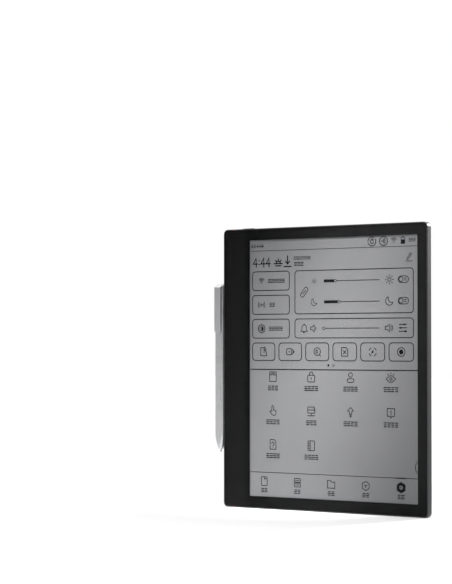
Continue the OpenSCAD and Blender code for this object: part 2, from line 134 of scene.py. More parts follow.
def set_ramp(ramp, stops):
    """Sets a colour ramp to two or more stops, each a position and a colour, in rising order."""
    elements = ramp.color_ramp.elements
    for element, (position, colour) in zip(elements, (stops[0], stops[-1])):
        element.position = position
        element.color = colour
    for position, colour in stops[1:-1]:
        elements.new(position).color = colour


def make_world():
    """White to the camera. As light it has two parts, which are added.

    By height, it is nearly dark below 30 degrees, brightest in a ring near 50 degrees and dimmer
    overhead. From left to right, it falls from a little light through a dip and a fainter glow to
    nothing just past the middle.
    """
    world = bpy.data.worlds.new("studio")
    bpy.context.scene.world = world
    world.use_nodes = True
    tree = world.node_tree

    def link(output, socket):
        tree.links.new(output, socket)

    background = tree.nodes["Background"]
    coords = tree.nodes.new("ShaderNodeTexCoord")
    split = tree.nodes.new("ShaderNodeSeparateXYZ")
    ceiling = tree.nodes.new("ShaderNodeValToRGB")
    side = tree.nodes.new("ShaderNodeValToRGB")
    both = tree.nodes.new("ShaderNodeMix")
    path = tree.nodes.new("ShaderNodeLightPath")
    choose = tree.nodes.new("ShaderNodeMix")
    both.data_type = choose.data_type = "RGBA"
    both.blend_type = "ADD"
    set_ramp(ceiling, ((0.50, (0.07, 0.07, 0.072, 1)), (0.75, grey(2.1)), (1.0, grey(1.3))))
    set_ramp(side, ((0.05, grey(0.32)), (0.19, grey(0.10)), (0.34, grey(0.16)), (0.60, grey(0.0))))
    shift = tree.nodes.new("ShaderNodeMapRange")
    shift.inputs["From Min"].default_value = -1
    link(coords.outputs["Generated"], split.inputs[0])
    link(split.outputs["Z"], ceiling.inputs["Fac"])
    link(split.outputs["X"], shift.inputs["Value"])
    link(shift.outputs[0], side.inputs["Fac"])
    both.inputs["Factor"].default_value = 1.0
    link(ceiling.outputs["Color"], both.inputs["A"])
    link(side.outputs["Color"], both.inputs["B"])
    link(path.outputs["Is Camera Ray"], choose.inputs["Factor"])
    link(both.outputs["Result"], choose.inputs["A"])
    choose.inputs["B"].default_value = grey(1.0)
    link(choose.outputs["Result"], background.inputs["Color"])


def make_lights():
    """A narrow key light on the screen from the upper right, and a soft light on the back."""
    make_world()
    make_light("key", place=(0.37, -0.43, 0.96), target=(-0.015, 0, 0.090), size=(0.06, 0.06),
               power=0.142, spread=12.5)
    make_light("back", place=(0.18, 0.78, 0.45), target=(0.05, 0, 0.16), size=(0.2, 0.2),
               power=0.38, spread=24)
    bpy.context.scene.view_settings.view_transform = "Standard"
    bpy.context.scene.cycles.transparent_max_bounces = 32


# ---------------------------------------------------------------- materials

class Finish:
    """One material's node tree, with short calls for the nodes that the finishes share."""

    def __init__(self, name):
        self.material = bpy.data.materials.new(name)
        self.material.use_nodes = True
        self.tree = self.material.node_tree
        self.shader = self.tree.nodes["Principled BSDF"]
        self.place = self.add("ShaderNodeTexCoord").outputs["Object"]

    def add(self, kind, **settings):
        node = self.tree.nodes.new(kind)
        for key, value in settings.items():
            setattr(node, key, value)
        return node

    def feed(self, socket, value):
        if isinstance(value, bpy.types.NodeSocket):
            self.tree.links.new(value, socket)
        else:
            socket.default_value = value

    def set(self, name, value):
        self.feed(self.shader.inputs[name], value)

    def stretched(self, scale):
        """The object's coordinates, scaled along each axis, to draw a pattern out."""
        node = self.add("ShaderNodeMapping")
        self.feed(node.inputs["Vector"], self.place)
        node.inputs["Scale"].default_value = scale
        return node.outputs[0]

    def noise(self, size, detail=3, place=None):
        """Cloudy pattern from 0 to 1 whose patches are about size millimetres across."""
        node = self.add("ShaderNodeTexNoise")
        self.feed(node.inputs["Vector"], place or self.place)
        node.inputs["Scale"].default_value = 1 / (size * MM)
        node.inputs["Detail"].default_value = detail
        return node.outputs["Fac"]

    def maths(self, operation, a, b):
        node = self.add("ShaderNodeMath", operation=operation)
        self.feed(node.inputs[0], a)
        self.feed(node.inputs[1], b)
        return node.outputs[0]

    def blend(self, first, second, share):
        """Two patterns added, with share of the second and the rest of the first."""
        return self.maths("ADD", self.maths("MULTIPLY", first, 1 - share),
                          self.maths("MULTIPLY", second, share))

    def between(self, factor, low, high, start=0.25, end=0.75):
        """A value that runs from low to high while a pattern runs from start to end."""
        node = self.add("ShaderNodeMapRange")
        self.feed(node.inputs["Value"], factor)
        node.inputs["From Min"].default_value = start
        node.inputs["From Max"].default_value = end
        node.inputs["To Min"].default_value = low
        node.inputs["To Max"].default_value = high
        return node.outputs[0]

    def tint(self, factor, dark, light, start=0.25, end=0.75):
        """A colour that runs from dark to light while a pattern runs from start to end."""
        node = self.add("ShaderNodeMix", data_type="RGBA")
        self.feed(node.inputs["Factor"], self.between(factor, 0.0, 1.0, start, end))
        self.feed(node.inputs["A"], dark)
        self.feed(node.inputs["B"], light)
        return node.outputs["Result"]

    def bump(self, height, depth):
        """Relief of depth millimetres from a pattern."""
        node = self.add("ShaderNodeBump")
        node.inputs["Distance"].default_value = depth * MM
        self.feed(node.inputs["Height"], height)
        self.set("Normal", node.outputs[0])


def shade(colour, by):
    """A colour made lighter or darker by a factor."""
    return (colour[0] * by, colour[1] * by, colour[2] * by, 1)


def blasted_metal(name, colour, metallic, rough, grain=0.16, tone=0.035, sparkle=0.2):
    """Bead-blasted and anodised metal: a fine even grain, a little cloudiness, no brushing."""
    m = Finish(name)
    cloud = m.noise(38, detail=3)
    grains = m.noise(grain, detail=2)
    m.set("Base Color", m.tint(m.blend(cloud, grains, sparkle), shade(colour, 1 - tone),
                               shade(colour, 1 + tone)))
    m.set("Metallic", metallic)
    m.set("Roughness", m.between(m.blend(cloud, grains, 0.5), rough - 0.05, rough + 0.05))
    m.bump(grains, 0.003)
    return m.material


def moulded_plastic(name, colour, rough, grain=0.25):
    """Moulded or cast plastic: faintly cloudy, with a fine texture."""
    m = Finish(name)
    grains = m.noise(grain, detail=3)
    m.set("Base Color", m.tint(m.noise(9), shade(colour, 0.88), shade(colour, 1.12)))
    m.set("Roughness", m.between(grains, rough - 0.08, rough + 0.08))
    m.bump(grains, 0.012)
    return m.material


def plated_metal(name, colour, rough, stretch=(1, 1, 1)):
    """Rolled or plated metal. A stretch that isn't even draws its fine marks out into lines."""
    m = Finish(name)
    lines = m.noise(0.5, detail=4, place=m.stretched(stretch))
    m.set("Base Color", m.tint(m.noise(12), shade(colour, 0.92), shade(colour, 1.08)))
    m.set("Metallic", 1.0)
    m.set("Roughness", m.between(lines, rough - 0.08, rough + 0.08))
    m.bump(lines, 0.004)
    return m.material


def solder_mask(name):
    """Green lacquer over copper, with the tracks showing as raised lighter lines."""
    m = Finish(name)
    tracks = m.add("ShaderNodeTexBrick")
    m.feed(tracks.inputs["Vector"], m.place)
    tracks.inputs["Scale"].default_value = 320
    tracks.inputs["Mortar Size"].default_value = 0.035
    tracks.inputs["Color1"].default_value = (0.010, 0.085, 0.045, 1)
    tracks.inputs["Color2"].default_value = (0.014, 0.110, 0.058, 1)
    tracks.inputs["Mortar"].default_value = (0.045, 0.190, 0.090, 1)
    m.set("Base Color", tracks.outputs["Color"])
    m.set("Roughness", m.between(m.noise(2), 0.30, 0.42))
    m.bump(tracks.outputs["Fac"], 0.02)
    return m.material


def polyimide(name):
    """Amber film with copper tracks along it."""
    m = Finish(name)
    wave = m.add("ShaderNodeTexWave", bands_direction="Z")
    m.feed(wave.inputs["Vector"], m.place)
    wave.inputs["Scale"].default_value = 700
    m.set("Base Color", m.tint(wave.outputs["Fac"], (0.30, 0.10, 0.015, 1), (0.52, 0.22, 0.05, 1)))
    m.set("Roughness", m.between(m.noise(1.5), 0.28, 0.42))
    m.bump(wave.outputs["Fac"], 0.01)
    return m.material


def foil(name):
    """Laminated pouch of a battery cell: silver, softly creased."""
    m = Finish(name)
    creases = m.noise(14, detail=5)
    m.set("Base Color", m.tint(m.noise(30), (0.56, 0.57, 0.58, 1), (0.66, 0.67, 0.68, 1)))
    m.set("Metallic", 1.0)
    m.set("Roughness", m.between(creases, 0.30, 0.45))
    m.bump(creases, 0.25)
    return m.material


def wound_wire(name):
    """Fine enamelled copper wire, wound turn on turn."""
    m = Finish(name)
    wave = m.add("ShaderNodeTexWave", bands_direction="Z")
    m.feed(wave.inputs["Vector"], m.place)
    wave.inputs["Scale"].default_value = 1100
    m.set("Base Color", m.tint(wave.outputs["Fac"], (0.16, 0.045, 0.015, 1), (0.58, 0.20, 0.07, 1)))
    m.set("Metallic", 0.9)
    m.set("Roughness", m.between(wave.outputs["Fac"], 0.25, 0.5))
    m.bump(wave.outputs["Fac"], 0.05)
    return m.material


def sintered(name, colour):
    """Pressed and fired powder: dull, dark and grainy."""
    m = Finish(name)
    grains = m.noise(0.2, detail=5)
    m.set("Base Color", m.tint(grains, shade(colour, 0.7), shade(colour, 1.3)))
    m.set("Roughness", m.between(grains, 0.55, 0.8))
    m.bump(grains, 0.02)
    return m.material


def clear_layer(name, colour, alpha, rough):
    """A transparent sheet: mostly what is behind it, with a faint film of its own."""
    m = Finish(name)
    m.set("Base Color", m.tint(m.noise(20), shade(colour, 0.9), shade(colour, 1.1)))
    m.set("Roughness", m.between(m.noise(0.12, detail=1), rough - 0.05, rough + 0.05))
    m.set("Alpha", alpha)
    m.set("IOR", 1.5)
    return m.material


def paper_film(name):
    """The electronic ink layer: matte mid grey, with a fine grain of capsules and faint clouding."""
    m = Finish(name)
    capsules = m.noise(0.22, detail=2)
    cloud = m.noise(24, detail=2)
    both = m.blend(cloud, capsules, 0.6)
    m.set("Base Color", m.tint(both, (0.218, 0.220, 0.226, 1), (0.238, 0.240, 0.246, 1)))
    m.set("Roughness", m.between(capsules, 0.62, 0.74))
    m.set("Specular IOR Level", 0.25)
    m.bump(capsules, 0.006)
    return m.material


def screen_ink(name):
    """The dark capsules that draw the page."""
    m = Finish(name)
    capsules = m.noise(0.22, detail=2)
    m.set("Base Color", m.tint(capsules, (0.006, 0.006, 0.0065, 1), (0.011, 0.011, 0.0115, 1)))
    m.set("Roughness", m.between(capsules, 0.6, 0.75))
    m.set("Specular IOR Level", 0.05)
    return m.material


def ink_border_and_painted_reflection(name):
    """Near-black ink behind the glass: an even strip at the spine, then dark, with a painted reflection that
    pales it towards the right and upwards from the bottom edge.
    """
    m = Finish(name)
    split = m.add("ShaderNodeSeparateXYZ")
    m.feed(split.inputs[0], m.place)
    spine_end = SCREEN_LEFT - 5 * MM
    soft_edge = 0.4 * MM
    dark, reflection_colour, spine = (0.0010, 0.0012, 0.0012, 1), grey(0.0115), grey(0.0058)
    # painted reflection: the ink is painted paler towards the middle of the screen and upwards from the
    # bottom edge, standing in for light reflected by the glass
    reflection_rise = m.between(split.outputs["Z"], 0.4, 1.0, SCREEN_BOTTOM - 5 * MM, SCREEN_BOTTOM + 25 * MM)
    across = m.between(split.outputs["X"], 0.0, 1.0, spine_end, SCREEN_MIDDLE)
    painted_reflection = m.tint(m.maths("MULTIPLY", across, reflection_rise), dark, reflection_colour, 0.0, 1.0)
    m.set("Base Color", m.tint(split.outputs["X"], spine, painted_reflection, spine_end - soft_edge,
                               spine_end + soft_edge))
    m.set("Roughness", m.between(m.noise(0.3), 0.40, 0.46))
    m.set("Specular IOR Level", 0.06)
    return m.material


def woven_mesh(name):
    """Fine black cloth or foam, in a chequered weave."""
    m = Finish(name)
    threads = m.add("ShaderNodeTexChecker")
    m.feed(threads.inputs["Vector"], m.place)
    threads.inputs["Scale"].default_value = 5000
    m.set("Base Color", m.tint(threads.outputs["Fac"], grey(0.004), (0.030, 0.030, 0.032, 1), 0, 1))
    m.set("Roughness", m.between(m.noise(1), 0.55, 0.75))
    m.bump(threads.outputs["Fac"], 0.02)
    return m.material


def make_finishes():
    """One material for each of the record's slots."""
    silver = (0.60, 0.602, 0.61)
    return {
        "dark_anodised": blasted_metal("dark_anodised", (0.080, 0.081, 0.084), 0.85, 0.42),
        "accent_orange": blasted_metal("accent_orange", (0.47, 0.092, 0.045), 0.35, 0.40),
        "frame_metal": blasted_metal("frame_metal", (0.52, 0.53, 0.54), 1.0, 0.48, grain=0.4),
        "cover_glass": clear_layer("cover_glass", (0.020, 0.021, 0.022), 0.05, 0.30),
        "bezel_ink": ink_border_and_painted_reflection("bezel_ink"),
        "black_foam": woven_mesh("black_foam"),
        "clear_film": clear_layer("clear_film", (0.10, 0.105, 0.105), 0.006, 0.25),
        "lamp_phosphor": moulded_plastic("lamp_phosphor", (0.80, 0.74, 0.42), 0.35, grain=0.1),
        "epaper": paper_film("epaper"),
        "board_green": solder_mask("board_green"),
        "shield_steel": plated_metal("shield_steel", (0.56, 0.57, 0.58), 0.34, (0.08, 1, 1)),
        "flex_amber": polyimide("flex_amber"),
        "battery_foil": foil("battery_foil"),
        "white_tape": moulded_plastic("white_tape", (0.72, 0.71, 0.66), 0.55, grain=0.6),
        "black_plastic": moulded_plastic("black_plastic", (0.022, 0.022, 0.024), 0.48),
        "cream_plastic": moulded_plastic("cream_plastic", (0.68, 0.62, 0.48), 0.42),
        "graphite_film": plated_metal("graphite_film", (0.085, 0.085, 0.09), 0.50, (1, 1, 0.1)),
        "gold_can": plated_metal("gold_can", (0.70, 0.48, 0.17), 0.28),
        "magnet_nickel": plated_metal("magnet_nickel", (0.58, 0.57, 0.54), 0.22),
        "screw_steel": plated_metal("screw_steel", (0.16, 0.16, 0.165), 0.30),
        "pen_silver": blasted_metal("pen_silver", silver, 0.92, 0.28, grain=0.13, tone=0.07, sparkle=0.6),
        "clip_steel": blasted_metal("clip_steel", silver, 0.92, 0.32, grain=0.13, tone=0.06, sparkle=0.6),
        "collar_metal": plated_metal("collar_metal", (0.86, 0.86, 0.86), 0.18, (1, 1, 12)),
        "nib_plastic": moulded_plastic("nib_plastic", (0.55, 0.55, 0.54), 0.40, grain=0.15),
        "ferrite": sintered("ferrite", (0.035, 0.035, 0.037)),
        "copper_wire": wound_wire("copper_wire"),
        "sensor_grey": moulded_plastic("sensor_grey", (0.20, 0.20, 0.21), 0.45),
    }


# ---------------------------------------------------------------- the picture on the screen

# how far the ink stands out of the paper's face, and how far it reaches into it
INK_ABOVE = 0.045 * MM
INK_ROOT = 0.004 * MM

# the page's grid, in page units of about a millimetre, from the lit area's top left
PAGE_WIDTH, PAGE_HEIGHT = 157.3, 209.7
LEFT_EDGE, RIGHT_EDGE = 2.3, PAGE_WIDTH - 4.0
STATUS_RULE, GRID_RULE, NAV_RULE = 8.9, 106.0, 190.0
SWITCH_RIGHT, PANE_LEFT = 38.3, 43.7
ROW_TOP, ROW_HEIGHT, ROW_PITCH = 26.0, 15.4, 19.5
KEY_TOP, KEY_HEIGHT, KEY_WIDTH, KEY_PITCH = 84.4, 14.3, 21.9, 25.82
DOTS_ROW = 102.4
GRID_LEFT, GRID_PITCH, GRID_TOP, GRID_ROW, LABEL_DROP = 22.3, 36.9, 111.9, 27.6, 9.2
NAV_LEFT, NAV_PITCH, NAV_ROW, NAV_LABEL = 13.8, 32.05, 197.3, 204.6
# the widths of strokes, in page units
THIN, LINE, BOLD = 0.55, 0.72, 1.0

# a clock figure's proportions, as shares of its height
FOUR_REACH, FOUR_STEP, COLON_INSET, COLON_STEP = 0.56, 0.71, 0.09, 0.33
# where a stroke's round end has its corners, in degrees
END_STEPS = (35, 62, 84)
# the least cosine that a mitred corner allows for
MITRE_LIMIT = 0.5


def polar(radius, degrees, centre=(0, 0)):
    """The point at a radius and an angle, in degrees clockwise from the right."""
    a = math.radians(degrees)
    return centre[0] + radius * math.cos(a), centre[1] + radius * math.sin(a)


def arc(centre, radius, start, end, steps=None):
    """Points along a circle, in degrees clockwise from the right."""
    steps = steps or max(4, int(abs(end - start) / 12))
    return [polar(radius, start + (end - start) * i / steps, centre) for i in range(steps + 1)]


def circle(centre, radius, steps=28):
    """A whole circle of steps points."""
    return arc(centre, radius, 0, 360 * (steps - 1) / steps, steps - 1)


def rounded(left, top, right, bottom, radius):
    """Outline of a box with round corners, clockwise from its top right."""
    corners = [((right - radius, top + radius), -90), ((right - radius, bottom - radius), 0),
               ((left + radius, bottom - radius), 90), ((left + radius, top + radius), 180)]
    return [p for centre, start in corners for p in arc(centre, radius, start, start + 90, 6)]


class Ink:
    """Thin solid shapes on the paper, placed in page units from the lit area's top left, v down."""

    def __init__(self, name):
        self.name = name
        self.mesh = bmesh.new()

    def post(self, point):
        """The two corners over one point of an outline, front and back."""
        x = SCREEN_LEFT + point[0] * (SCREEN_RIGHT - SCREEN_LEFT) / PAGE_WIDTH
        z = SCREEN_TOP - point[1] * (SCREEN_TOP - SCREEN_BOTTOM) / PAGE_HEIGHT
        front = self.mesh.verts.new((x, PAPER_Y - INK_ABOVE, z))
        back = self.mesh.verts.new((x, PAPER_Y + INK_ROOT, z))
        return front, back

    def fill(self, outline):
        """A flat solid over a convex outline."""
        posts = [self.post(p) for p in outline]
        self.mesh.faces.new([front for front, back in posts])
        self.mesh.faces.new([back for front, back in reversed(posts)])
        for (f0, b0), (f1, b1) in zip(posts, posts[1:] + posts[:1]):
            self.mesh.faces.new((f0, b0, b1, f1))

    def line(self, points, width=LINE, closed=False):
        """A stroke of even width with round ends and mitred corners."""
        path = [Vector(p) for p in points]
        last = len(path) - 1
        rows = []
        for i, here in enumerate(path):
            ways = []
            if closed or i > 0:
                ways.append((here - path[i - 1]).normalized())
            if closed or i < last:
                ways.append((path[(i + 1) % len(path)] - here).normalized())
            way = sum(ways, Vector((0, 0))).normalized()
            across = Vector((-way.y, way.x))
            lean = abs(way.dot(ways[0]))
            rows.append((here, across, width / 2 / max(lean, MITRE_LIMIT)))
        if not closed:
            start = self.round_end(rows[0], path[0] - path[1], width)
            end = self.round_end(rows[-1], path[-1] - path[-2], width)
            rows = start[::-1] + rows + end
        self.band([(tuple(p - a * h), tuple(p + a * h)) for p, a, h in rows], closed)

    def box(self, left, top, right, bottom, radius):
        """A box with round corners, drawn as a line."""
        self.line(rounded(left, top, right, bottom, radius), LINE, closed=True)

    @staticmethod
    def round_end(row, outwards, width):
        """Rows that take a stroke from its full width at its last point to a round end."""
        point, across, half = row
        way = outwards.normalized() * width / 2
        return [(point + way * math.sin(math.radians(d)), across, half * math.cos(math.radians(d)))
                for d in END_STEPS]

    def band(self, rows, closed):
        """A flat solid along rows, each the left and right point of a stroke's outline."""
        posts = [(self.post(left), self.post(right)) for left, right in rows]
        pairs = list(zip(posts, posts[1:] + posts[:1] if closed else posts[1:]))
        for ((lf, lb), (rf, rb)), ((lf2, lb2), (rf2, rb2)) in pairs:
            self.mesh.faces.new((lf, lf2, rf2, rf))
            self.mesh.faces.new((lb, rb, rb2, lb2))
            self.mesh.faces.new((lf, lb, lb2, lf2))
            self.mesh.faces.new((rf, rf2, rb2, rb))
        if not closed:
            for (lf, lb), (rf, rb) in (posts[0], posts[-1]):
                self.mesh.faces.new((lf, rf, rb, lb))

    def finish(self, material, slot):
        """Makes the drawn ink one piece on the tablet."""
        bmesh.ops.recalc_face_normals(self.mesh, faces=self.mesh.faces)
        mesh = bpy.data.meshes.new(self.name)
        self.mesh.to_mesh(mesh)
        self.mesh.free()
        mesh.materials.append(material)
        piece = bpy.data.objects.new(self.name, mesh)
        bpy.context.scene.collection.objects.link(piece)
        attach(piece, "tablet")


class Icon:
    """Draws in an icon's own units, from -1 to 1 across its size, around a place on the page."""

    def __init__(self, ink, centre, size, turn=0.0, width=LINE):
        self.ink, self.centre, self.size, self.turn, self.width = ink, centre, size, turn, width

    def put(self, points):
        """Points in the icon's own units, put in place on the page."""
        c, s = math.cos(self.turn), math.sin(self.turn)
        u, v = self.centre
        half = self.size / 2
        return [(u + half * (c * x - s * y), v + half * (s * x + c * y)) for x, y in points]

    def line(self, *points, closed=False):
        self.ink.line(self.put(points), self.width, closed)

    def arc(self, centre, radius, start, end):
        self.ink.line(self.put(arc(centre, radius, start, end)), self.width)

    def ring(self, centre, radius):
        self.ink.line(self.put(circle(centre, radius)), self.width, closed=True)

    def disc(self, centre, radius):
        self.ink.fill(self.put(circle(centre, radius, 20)))

    def box(self, left, top, right, bottom, radius):
        self.ink.line(self.put(rounded(left, top, right, bottom, radius)), self.width, closed=True)

    def block(self, left, top, right, bottom, radius):
        self.ink.fill(self.put(rounded(left, top, right, bottom, radius)))


def fan(i):
    """Three arcs over a dot."""
    for radius in (0.66, 1.08, 1.50):
        i.arc((0, 0.55), radius, -136, -44)
    i.disc((0, 0.60), 0.24)


def beacon(i):
    """A dot between two pairs of arcs."""
    i.disc((0, 0), 0.24)
    for radius in (0.58, 1.0):
        i.arc((0, 0), radius, -42, 42)
        i.arc((0, 0), radius, 138, 222)


def wave_badge(i):
    """A dot sending two waves, inside a ring."""
    i.ring((0, 0), 1)
    i.disc((-0.40, 0), 0.17)
    for radius in (0.40, 0.78):
        i.arc((-0.40, 0), radius, -50, 50)


def turn_badge(i):
    """A turning arrow inside a broken ring."""
    i.arc((0, 0), 1, -30, 155)
    i.arc((0, 0), 1, 180, 305)
    i.arc((0, 0), 0.44, 20, 280)
    i.line((0.08, -0.72), (0.08, -0.20), (0.48, -0.40))


def battery(i):
    """A cell partly full."""
    i.box(-0.6, -0.75, 0.6, 1, 0.12)
    i.block(-0.25, -1.02, 0.25, -0.8, 0.05)
    i.block(-0.5, -0.15, 0.5, 0.92, 0.08)


def pencil(i):
    """A slanted pencil over a line."""
    i.line((-0.55, 0.62), (-0.42, 0.15), (0.38, -0.98), (0.72, -0.74), (-0.1, 0.40), closed=True)
    i.line((-0.9, 1.0), (0.95, 1.0))


def contrast(i):
    """A toothed ring round a half-filled disc."""
    i.ring((0, 0), 0.95)
    i.ring((0, 0), 0.52)
    i.block(-0.08, -0.42, 0.40, 0.42, 0.2)
    for k in range(8):
        i.disc(polar(0.95, 45 * k), 0.17)


def chain(i):
    """One long link with a bar in it."""
    i.box(-1.2, -0.46, 1.2, 0.46, 0.44)
    i.line((-0.55, 0), (0.55, 0))


def sun(i):
    """A small ring with rays round it."""
    i.ring((0, 0), 0.40)
    for k in range(8):
        i.line(polar(0.76, 45 * k), polar(1.06, 45 * k))


def faint_sun(i):
    """A small ring with dots round it."""
    i.ring((0, 0), 0.42)
    for k in range(8):
        i.disc(polar(0.98, 45 * k), 0.10)


def moon(i):
    """A crescent."""
    outer = arc((0, 0), 0.95, 20, 250)
    inner = arc((0.46, -0.40), 0.72, 190, 82)
    i.line(*outer, *inner, closed=True)


def toggle(i):
    """A switch with its knob at the left."""
    i.box(-1.0, -0.56, 1.0, 0.56, 0.54)
    i.ring((-0.46, 0), 0.40)
    for row in (-0.18, 0.14):
        i.line((0.18, row), (0.62, row))


def bell(i):
    """A bell with its clapper."""
    i.line(*arc((0, -0.25), 0.55, 180, 360), (0.60, 0.35), (0.85, 0.66), (-0.85, 0.66),
           (-0.60, 0.35), closed=True)
    i.arc((0, 0.70), 0.26, 10, 170)
    i.disc((0, -0.95), 0.12)


def speaker(i, waves=1):
    """A loudspeaker with so many sound waves."""
    i.line((-0.9, -0.32), (-0.42, -0.32), (0.12, -0.82), (0.12, 0.82), (-0.42, 0.32), (-0.9, 0.32),
           closed=True)
    for k in range(waves):
        i.arc((0.12, 0), 0.46 + 0.36 * k, -50, 50)


def mixer(i):
    """Three lines, each with a knob."""
    for row, knob in ((-0.75, 0.3), (0, -0.55), (0.75, 0.6)):
        i.line((-0.95, row), (0.95, row))
        i.disc((knob, row), 0.22)


def page_turn(i):
    """A page with one corner turning over."""
    i.line((0.15, 0.95), (-0.8, 0.85), (-0.8, -0.9), (0.1, -0.9), (0.1, 0.25))
    i.line((0.1, -0.5), (0.62, -0.15), (0.85, 0.85), (0.15, 0.95))
    i.arc((0.05, -0.55), 0.5, -80, 30)


def cast(i):
    """A panel that sends to the right."""
    i.box(-0.95, -0.68, 0.35, 0.68, 0.14)
    i.disc((-0.25, 0), 0.17)
    i.line((0.55, -0.55), (1.05, 0), (0.55, 0.55))
    i.line((0.75, -0.12), (0.75, 0.12))


def search(i):
    """A lens with a bar and a half ring in it."""
    i.ring((0, -0.05), 0.85)
    i.line((0.5, 0.62), (0.92, 0.98))
    i.line((0, -0.4), (0, 0.3))
    i.arc((0, -0.05), 0.38, 90, 270)


def page_edit(i):
    """A page with a cross on it."""
    i.line((0.35, -0.95), (-0.8, -0.95), (-0.8, 0.95), (0.8, 0.95), (0.8, -0.45), closed=True)
    i.line((-0.35, -0.3), (0.35, 0.45))
    i.line((0.35, -0.3), (-0.35, 0.45))


def capture(i):
    """Four arcs of a ring round a dot."""
    for start in (0, 90, 180, 270):
        i.arc((0, 0), 0.95, start + 22, start + 68)
    i.disc((0, 0), 0.24)
    i.line((-0.3, 0.3), (0.1, -0.35))


def record(i):
    """A filled disc in a ring."""
    i.ring((0, 0), 0.95)
    i.disc((0, 0), 0.55)


def window(i):
    """A panel with a title line."""
    i.box(-0.82, -1, 0.82, 1, 0.08)
    i.line((-0.82, -0.38), (0.82, -0.38))
    i.line((-0.45, -0.70), (0.45, -0.70))


def lock(i):
    """A padlock."""
    i.box(-0.85, -0.38, 0.85, 1, 0.2)
    i.line((-0.5, -0.38), *arc((0, -0.62), 0.42, 180, 360), (0.5, -0.38))
    i.line((0, 0.12), (0, 0.52))


def person(i):
    """A head over shoulders."""
    i.ring((0, -0.52), 0.46)
    i.line(*arc((-0.42, 0.62), 0.38, 90, 245), *arc((0.42, 0.62), 0.38, -65, 90), closed=True)


def eye(i):
    """A pupil in an eye, with rays over it."""
    for degrees in (-130, -90, -50):
        i.line(polar(0.86, degrees, (0, 0.1)), polar(1.12, degrees, (0, 0.1)))
    i.line((-1.1, 0.2), (-0.3, -0.42), (0.3, -0.42), (1.1, 0.2), (0.3, 0.86), (-0.3, 0.86), closed=True)
    i.ring((0, 0.22), 0.26)


def hand(i):
    """A hand with one finger up."""
    finger = arc((-0.06, -0.78), 0.22, 180, 360)
    palm = arc((0.22, 0.46), 0.54, 10, 100)
    i.line((-0.28, 0.15), (-0.28, -0.72), *finger, (0.16, -0.15), (0.70, 0.05), (0.78, 0.35), *palm,
           (-0.30, 0.78), (-0.80, 0.20), (-0.55, 0.05), closed=True)


def server(i):
    """A box on a stand."""
    i.box(-0.85, -0.9, 0.85, 0.35, 0.12)
    i.line((-0.85, -0.28), (0.85, -0.28))
    i.line((0, 0.35), (0, 0.9))
    i.line((-0.85, 0.9), (0.85, 0.9))
    i.disc((0.45, -0.58), 0.1)


def up_arrow(i):
    """A broad arrow over a dot."""
    i.line((0, -1), (0.72, -0.28), (0.34, -0.28), (0.26, 0.42), (-0.26, 0.42), (-0.34, -0.28),
           (-0.72, -0.28), closed=True)
    i.disc((0, 0.80), 0.24)


def notice(i):
    """A speech panel with a stroke and a dot."""
    i.line((-0.85, -0.92), (0.85, -0.92), (0.85, 0.62), (0.22, 0.62), (0, 0.98), (-0.22, 0.62),
           (-0.85, 0.62), closed=True)
    i.line((0, -0.52), (0, 0.02))
    i.disc((0, 0.30), 0.13)


def help_page(i):
    """A page with a question mark."""
    i.line((-0.72, -1), (0.35, -1), (0.72, -0.62), (0.72, 1), (-0.72, 1), closed=True)
    i.line(*arc((0, -0.22), 0.3, 180, 400), (0, 0.22), (0, 0.34))
    i.disc((0, 0.62), 0.1)


def notebook(i):
    """A book with marks down its spine."""
    i.box(-0.8, -1, 0.8, 1, 0.2)
    i.line((-0.28, -1), (-0.28, 1))
    for row in (-0.5, 0, 0.5):
        i.line((-0.8, row), (-0.28, row))


def page_mark(i):
    """A page with a bookmark."""
    i.box(-0.78, -1, 0.78, 1, 0.22)
    i.line((0.05, -1), (0.05, -0.45), (0.30, -0.66), (0.52, -0.45))


def shelf(i):
    """Two drawers, one over the other."""
    i.box(-0.82, -0.95, 0.82, -0.08, 0.2)
    i.box(-0.82, 0.08, 0.82, 0.95, 0.2)
    for row in (-0.5, 0.5):
        i.line((-0.5, row), (0.5, row))


def folder(i):
    """A folder with its tab."""
    i.line((-0.95, -0.85), (-0.2, -0.85), (0.1, -0.5), (0.95, -0.5), (0.95, 0.85), (-0.95, 0.85),
           closed=True)


def hexagon(i):
    """A hexagon with three spokes."""
    i.line(*[polar(1, 60 * k - 90) for k in range(6)], closed=True)
    for k in range(3):
        i.line((0, 0), polar(0.42, 90 + 120 * k))


def half_sun(i):
    """A low sun over two lines."""
    i.line((-1, 0.45), (1, 0.45))
    i.line(*arc((0, 0.45), 0.5, 180, 360))
    for k in range(5):
        i.line(polar(0.74, 45 * k - 180, (0, 0.45)), polar(1, 45 * k - 180, (0, 0.45)))
    i.line((-0.6, 0.9), (0.6, 0.9))


def sink_arrow(i):
    """An arrow down to a line."""
    i.line((0, -1), (0, 0.4))
    i.line((-0.45, -0.05), (0, 0.45), (0.45, -0.05))
    i.line((-0.75, 0.9), (0.75, 0.9))


def digits(ink, text, left, middle, height, width):
    """A clock's figures, only fours and colons, drawn with strokes."""
    at = left
    half = height / 2
    for sign in text:
        if sign == ":":
            for side in (-1, 1):
                dot = (at + height * COLON_INSET, middle + side * half * 0.42)
                ink.fill(circle(dot, width * 0.6, 12))
            at += height * COLON_STEP
        else:
            reach = height * FOUR_REACH
            bar = middle + half * 0.32
            ink.line([(at + reach, bar), (at, bar), (at + reach * 0.70, middle - half),
                      (at + reach * 0.72, middle + half)], width)
            at += height * FOUR_STEP


def words(ink, centre, count, cell, height, width):
    """A label of count signs, each three short bars of uneven length, centred."""
    dice = random.Random(f"{centre[0]:.1f} {centre[1]:.1f}")
    for k in range(count):
        middle = centre[0] + (k - (count - 1) / 2) * cell
        for row in (-1, 0, 1):
            half = cell * dice.uniform(0.26, 0.40)
            shift = cell * dice.uniform(-0.05, 0.05)
            v = centre[1] + row * (height - width) / 2
            ink.line([(middle + shift - half, v), (middle + shift + half, v)], width)


